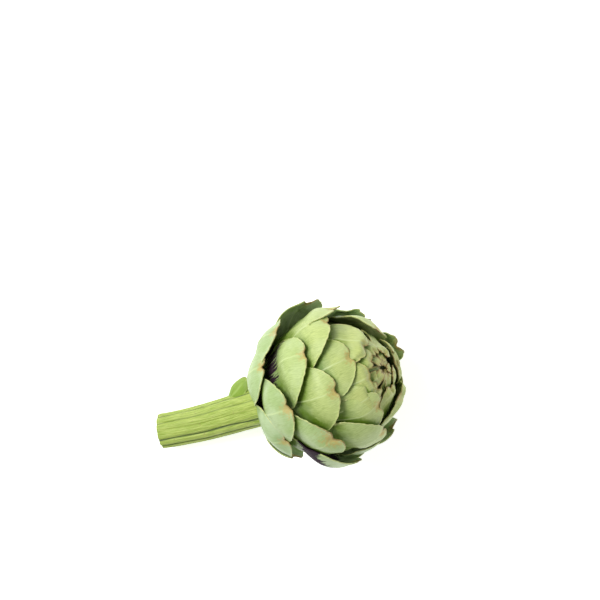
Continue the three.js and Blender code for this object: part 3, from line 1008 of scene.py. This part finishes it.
def makeBractSkin(name, skin):
    material, tree, shader = newMaterial(name, skin["roughness"])
    shader.inputs["Specular IOR Level"].default_value = skin["gloss"]
    uv = node(tree, "UVMap").outputs["UV"]
    position = node(tree, "TexCoord").outputs["Object"]
    fibres = placeGroup(tree, fibreGroup, Map=uv, **skin["fibres"]).outputs["Fibres"]
    patches = placeGroup(tree, mottleGroup, Position=position, Scale=skin["patchScale"])
    along = attribute(tree, "along")
    lowness = attribute(tree, "lowness")
    tone = attribute(tree, "tone")
    edge = attribute(tree, "edge")
    tip = attribute(tree, "tipDistance")
    stain = attribute(tree, "stain")
    budShare = attribute(tree, "budShare")
    specks = patches.outputs["Specks"]
    amounts = skinAmounts

    def step(source, name):
        return ramp(tree, source, **skinRamps[name])

    leafGreen = mixColour(tree, step(lowness, "lowGreen"), skin["yellowGreen"], skin["blueGreen"])
    lighter = sums(tree, "MULTIPLY", tone, amounts["tone"])
    leafGreen = mixColour(tree, lighter, leafGreen, skin["yellowGreen"])
    yellower = sums(tree, "MULTIPLY", budShare, amounts["budGreen"])
    leafGreen = mixColour(tree, yellower, leafGreen, skin["budGreen"])
    # darker green towards each bract's root: partly the bract's own deeper green at its base, partly painted
    # shade under the bracts that overlap it
    rootShadeRun = sums(tree, "ADD", along, step(fibres, "fibreShift"))
    colour = mixColour(tree, step(rootShadeRun, "rootGreenAndShade"), leafGreen, skin["veinAndShadeGreen"])
    # painted shade: deep green where the neighbouring bracts keep the light off, read from the ray-cast
    # openness
    shadeUnderNeighbours = step(attribute(tree, "openness"), "shadeUnderNeighbours")
    colour = mixColour(tree, shadeUnderNeighbours, colour, skin["veinAndShadeGreen"])
    colour = mixColour(tree, step(fibres, "veins"), colour, skin["veinAndShadeGreen"])
    haze = step(patches.outputs["Patches"], "haze")
    haze = sums(tree, "MULTIPLY", haze, step(lowness, "hazeByRank"))
    colour = mixColour(tree, haze, colour, skin["bloom"])
    split = node(tree, "SeparateXYZ")
    link(tree, uv, split.inputs["Vector"])
    fromMidline = sums(tree, "SUBTRACT", split.outputs["X"], 0.5)
    fromMidline = sums(tree, "ABSOLUTE", fromMidline, 0.0)
    midrib = sums(tree, "MULTIPLY", step(fromMidline, "midrib"), step(along, "midribStart"))
    colour = mixColour(tree, midrib, colour, skin["midrib"])
    uneven = step(specks, "uneven")
    rim = sums(tree, "MULTIPLY", step(edge, "rim"), uneven)
    colour = mixColour(tree, rim, colour, skin["edge"])
    ragged = sums(tree, "ADD", tip, step(specks, "tipShift"))
    browned = sums(tree, "MULTIPLY", step(ragged, "browned"), step(budShare, "brownedByBud"))
    colour = mixColour(tree, browned, colour, skin["tan"])
    budEdge = sums(tree, "MULTIPLY", step(edge, "budEdge"), sums(tree, "MULTIPLY", budShare, uneven))
    colour = mixColour(tree, budEdge, colour, skin["tan"])
    crust = sums(tree, "MULTIPLY", step(edge, "crust"), step(ragged, "crustReach"))
    colour = mixColour(tree, sums(tree, "MULTIPLY", crust, uneven), colour, skin["crust"])
    feathers = placeGroup(tree, fibreGroup, Map=uv, **skin["feathers"]).outputs["Fibres"]
    purple = step(sums(tree, "ADD", stain, step(feathers, "streaks")), "purple")
    purple = sums(tree, "MULTIPLY", purple, step(stain, "stained"))
    colour = mixColour(tree, purple, colour, skin["purple"])
    link(tree, colour, shader.inputs["Base Color"])
    dull = sums(tree, "MULTIPLY", purple, amounts["dullPurple"])
    polish = sums(tree, "ADD", step(patches.outputs["Patches"], "polish"), dull)
    link(tree, polish, shader.inputs["Roughness"])
    fibreHeight = sums(tree, "MULTIPLY", fibres, amounts["fibreHeight"])
    speckHeight = sums(tree, "MULTIPLY", specks, amounts["speckHeight"])
    height = sums(tree, "ADD", fibreHeight, speckHeight)
    setBump(tree, shader, height, amounts["bump"], amounts["bumpDepth"])
    return material


leafColours = {
    "yellowGreen": (0.24, 0.37, 0.05),
    "bloom": (0.31, 0.43, 0.10),
    "edge": (0.40, 0.52, 0.14),
    "midrib": (0.40, 0.55, 0.15),
    "tan": (0.34, 0.42, 0.09),
    "crust": (0.20, 0.20, 0.05),
}

inside = {
    "olive": (0.045, 0.075, 0.010),
    "pale": (0.12, 0.17, 0.030),
    "roughness": 0.5,
    "fibres": dict(Across=320.0, Along=20.0),
    "streaks": dict(low=0.35, high=0.65, start=0.0, end=0.3),
    "towardsRoot": dict(low=14.0, high=40.0, start=0.0, end=0.7),
    "rim": dict(low=0.2, high=1.5, start=0.6, end=0.0),
    "bump": 0.3,
    "bumpDepth": 0.0004,
}


def makeBractInside():
    material, tree, shader = newMaterial("bractInside", inside["roughness"])
    uv = node(tree, "UVMap").outputs["UV"]
    fibres = placeGroup(tree, fibreGroup, Map=uv, **inside["fibres"]).outputs["Fibres"]
    along = attribute(tree, "along")
    edge = attribute(tree, "edge")
    colour = mixColour(tree, ramp(tree, fibres, **inside["streaks"]), inside["olive"], inside["pale"])
    colour = mixColour(tree, ramp(tree, along, **inside["towardsRoot"]), colour, inside["pale"])
    colour = mixColour(tree, ramp(tree, edge, **inside["rim"]), colour, skin["edge"])
    link(tree, colour, shader.inputs["Base Color"])
    setBump(tree, shader, fibres, inside["bump"], inside["bumpDepth"])
    return material


coreLook = {
    # painted shade for the gaps between the bracts
    "gapShade": (0.030, 0.045, 0.018),
    "green": (0.20, 0.28, 0.07),
    "roughness": 0.7,
    "patchScale": 160.0,
    "bump": 0.3,
    "bumpDepth": 0.0006,
}


def makeCoreLook():
    material, tree, shader = newMaterial("coreGreenAndGapShade", coreLook["roughness"])
    position = node(tree, "TexCoord").outputs["Object"]
    patches = placeGroup(tree, mottleGroup, Position=position, Scale=coreLook["patchScale"])
    # mottle of green and painted gap shade
    colour = mixColour(tree, patches.outputs["Patches"], coreLook["gapShade"], coreLook["green"])
    link(tree, colour, shader.inputs["Base Color"])
    setBump(tree, shader, patches.outputs["Specks"], coreLook["bump"], coreLook["bumpDepth"])
    return material


bark = {
    "ridge": (0.24, 0.35, 0.035),
    "pale": (0.44, 0.53, 0.12),
    "groove": (0.055, 0.095, 0.015),
    "scar": (0.26, 0.22, 0.08),
    "pith": (0.72, 0.74, 0.50),
    "ring": (0.42, 0.48, 0.18),
    "roughness": 0.55,
    "fibres": dict(Across=230.0, Along=9.0),
    "patchScale": 90.0,
    "bump": 0.5,
    "bumpDepth": 0.0006,
    "speckHeight": 0.5,
}

barkRamps = {
    "ridges": dict(low=0.38, high=0.62),
    "patches": dict(low=0.45, high=0.7, start=0.0, end=0.35),
    "grooves": dict(low=0.12, high=0.6),
    "grooveFibres": dict(low=0.25, high=0.6, start=0.6, end=1.0),
    "scars": dict(low=0.66, high=0.74, start=0.0, end=0.6),
    "pithSpecks": dict(low=0.4, high=0.65, start=0.0, end=0.5),
    "ring": dict(low=0.80, high=0.92),
    "cutFace": dict(low=0.97, high=0.995, start=1.0, end=0.0),
}


def makeStemSkin():
    material, tree, shader = newMaterial("stemSkin", bark["roughness"])
    uv = node(tree, "UVMap").outputs["UV"]
    position = node(tree, "TexCoord").outputs["Object"]
    fibres = placeGroup(tree, fibreGroup, Map=uv, **bark["fibres"]).outputs["Fibres"]
    patches = placeGroup(tree, mottleGroup, Position=position, Scale=bark["patchScale"])
    groove = attribute(tree, "groove")
    radial = attribute(tree, "radial")
    specks = patches.outputs["Specks"]

    def step(source, name):
        return ramp(tree, source, **barkRamps[name])

    colour = mixColour(tree, step(fibres, "ridges"), bark["ridge"], bark["pale"])
    colour = mixColour(tree, step(patches.outputs["Patches"], "patches"), colour, bark["pale"])
    lines = sums(tree, "MULTIPLY", step(groove, "grooves"), step(fibres, "grooveFibres"))
    colour = mixColour(tree, lines, colour, bark["groove"])
    colour = mixColour(tree, step(specks, "scars"), colour, bark["scar"])
    pith = mixColour(tree, step(specks, "pithSpecks"), bark["pith"], bark["ring"])
    pith = mixColour(tree, step(radial, "ring"), pith, bark["ring"])
    colour = mixColour(tree, step(radial, "cutFace"), colour, pith)
    link(tree, colour, shader.inputs["Base Color"])
    height = sums(tree, "ADD", fibres, sums(tree, "MULTIPLY", specks, bark["speckHeight"]))
    setBump(tree, shader, height, bark["bump"], bark["bumpDepth"])
    return material


place = headFrame()
bractSkin = makeBractSkin("bractSkin", skin)
leafSkin = makeBractSkin("stemLeafSkin", {**skin, **leafColours})
bractInside = makeBractInside()

outerPattern = makePattern("outer")
budPattern = makePattern("bud")
bracts = []
outerCounts = {}
for rank in range(-spiral["innerRanks"], spiral["outerRanks"]):
    pattern = outerPattern if rank >= 0 else budPattern
    bract = makeBract(rank, pattern, place)
    bract.data.materials.append(bractSkin)
    bract.data.materials.append(bractInside)
    bracts.append(bract)
    outerCounts[bract.name] = len(pattern.data.vertices)
addOpenness(bracts, outerCounts)
for pattern in (outerPattern, budPattern):
    bpy.data.objects.remove(pattern)
print("bracts made:", len(bracts))

core = makeCore(place)
core.data.materials.append(makeCoreLook())

stemSkin = makeStemSkin()
stemPiece, curve = makeStem(place)
closeEnd(stemPiece, curve, 1.0, endRings)
closeEnd(stemPiece, curve, 0.0, neckRings)
stemPiece.data.materials.append(stemSkin)
smoothStem(stemPiece)
leafPiece = makeLeaf(curve)
leafPiece.data.materials.append(leafSkin)
print("core, stem and leaf made")

for piece in [*bracts, core]:
    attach(piece, "root")
    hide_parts("head")
for piece in (stemPiece, leafPiece):
    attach(piece, "root")
    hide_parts("stem")

studio = {
    "floor": (0.92, 0.92, 0.92),
    "floorPale": (0.94, 0.94, 0.94),
    "floorSize": 4,
    "floorBelow": 0.2,
    "floorRoughness": 0.8,
    "grainScale": 30.0,
    "grain": dict(low=0.3, high=0.7),
    "glow": 0.62,
    "sky": 0.35,
    "keyPlace": (-0.45, 0.62, 1.15),
    "keyPower": 18.0,
    "keySize": 0.6,
    "fillPlace": (0.7, -0.7, 1.1),
    "fillPower": 3.0,
    "fillSize": 1.0,
}


def makeFloor():
    clearSelection()
    bpy.ops.mesh.primitive_plane_add(size=studio["floorSize"], location=(0, 0, -studio["floorBelow"] * mm))
    floor = bpy.context.object
    floor.name = "floor"
    material, tree, shader = newMaterial("paleFloor", studio["floorRoughness"])
    position = node(tree, "TexCoord").outputs["Object"]
    grain = ramp(tree, noise(tree, position, studio["grainScale"]), **studio["grain"])
    shade = mixColour(tree, grain, studio["floor"], studio["floorPale"])
    link(tree, shade, shader.inputs["Base Color"])
    shader.inputs["Emission Color"].default_value = (1, 1, 1, 1)
    shader.inputs["Emission Strength"].default_value = studio["glow"]
    floor.data.materials.append(material)


def makeLight(name, place, power, size):
    light = bpy.data.lights.new(name, "AREA")
    light.energy = power
    light.size = size
    holder = bpy.data.objects.new(name, light)
    bpy.context.scene.collection.objects.link(holder)
    holder.location = place
    holder.rotation_euler = (-Vector(place)).to_track_quat("-Z", "Y").to_euler()


def makeWorld():
    world = bpy.data.worlds.new("studio")
    bpy.context.scene.world = world
    world.use_nodes = True
    background = world.node_tree.nodes["Background"]
    background.inputs["Color"].default_value = (1, 1, 1, 1)
    background.inputs["Strength"].default_value = studio["sky"]


view = {
    "elevation": 82.0,
    "roll": 18.7,
    "distance": 1.3,
    "pixelsPerMm": 1.65,
    "headAt": (328.6, 384.8),
    "imageSize": 600,
    "sensor": 36,
}


def makeCamera():
    elevation = math.radians(view["elevation"])
    roll = math.radians(view["roll"])
    back = Vector((math.cos(elevation), 0, math.sin(elevation)))
    downAxis = Vector((math.sin(elevation), 0, -math.cos(elevation)))
    side = back.cross(downAxis)
    right = downAxis * math.cos(roll) - side * math.sin(roll)
    up = downAxis * math.sin(roll) + side * math.cos(roll)
    camera = bpy.data.cameras.new("camera")
    camera.sensor_width = view["sensor"]
    camera.lens = view["distance"] * view["pixelsPerMm"] / mm * view["sensor"] / view["imageSize"]
    holder = bpy.data.objects.new("camera", camera)
    bpy.context.scene.collection.objects.link(holder)
    middle = view["imageSize"] / 2
    shiftRight = (view["headAt"][0] - middle) / view["pixelsPerMm"] * mm
    shiftUp = (middle - view["headAt"][1]) / view["pixelsPerMm"] * mm
    spot = Vector(head["centre"]) * mm - right * shiftRight - up * shiftUp + back * view["distance"]
    holder.matrix_world = Matrix.Translation(spot) @ Matrix((right, up, back)).transposed().to_4x4()
    bpy.context.scene.camera = holder


makeFloor()
makeWorld()
makeLight("key", studio["keyPlace"], studio["keyPower"], studio["keySize"])
makeLight("fill", studio["fillPlace"], studio["fillPower"], studio["fillSize"])
makeCamera()
bpy.context.scene.view_settings.view_transform = "Standard"
print("floor, lights and camera made")
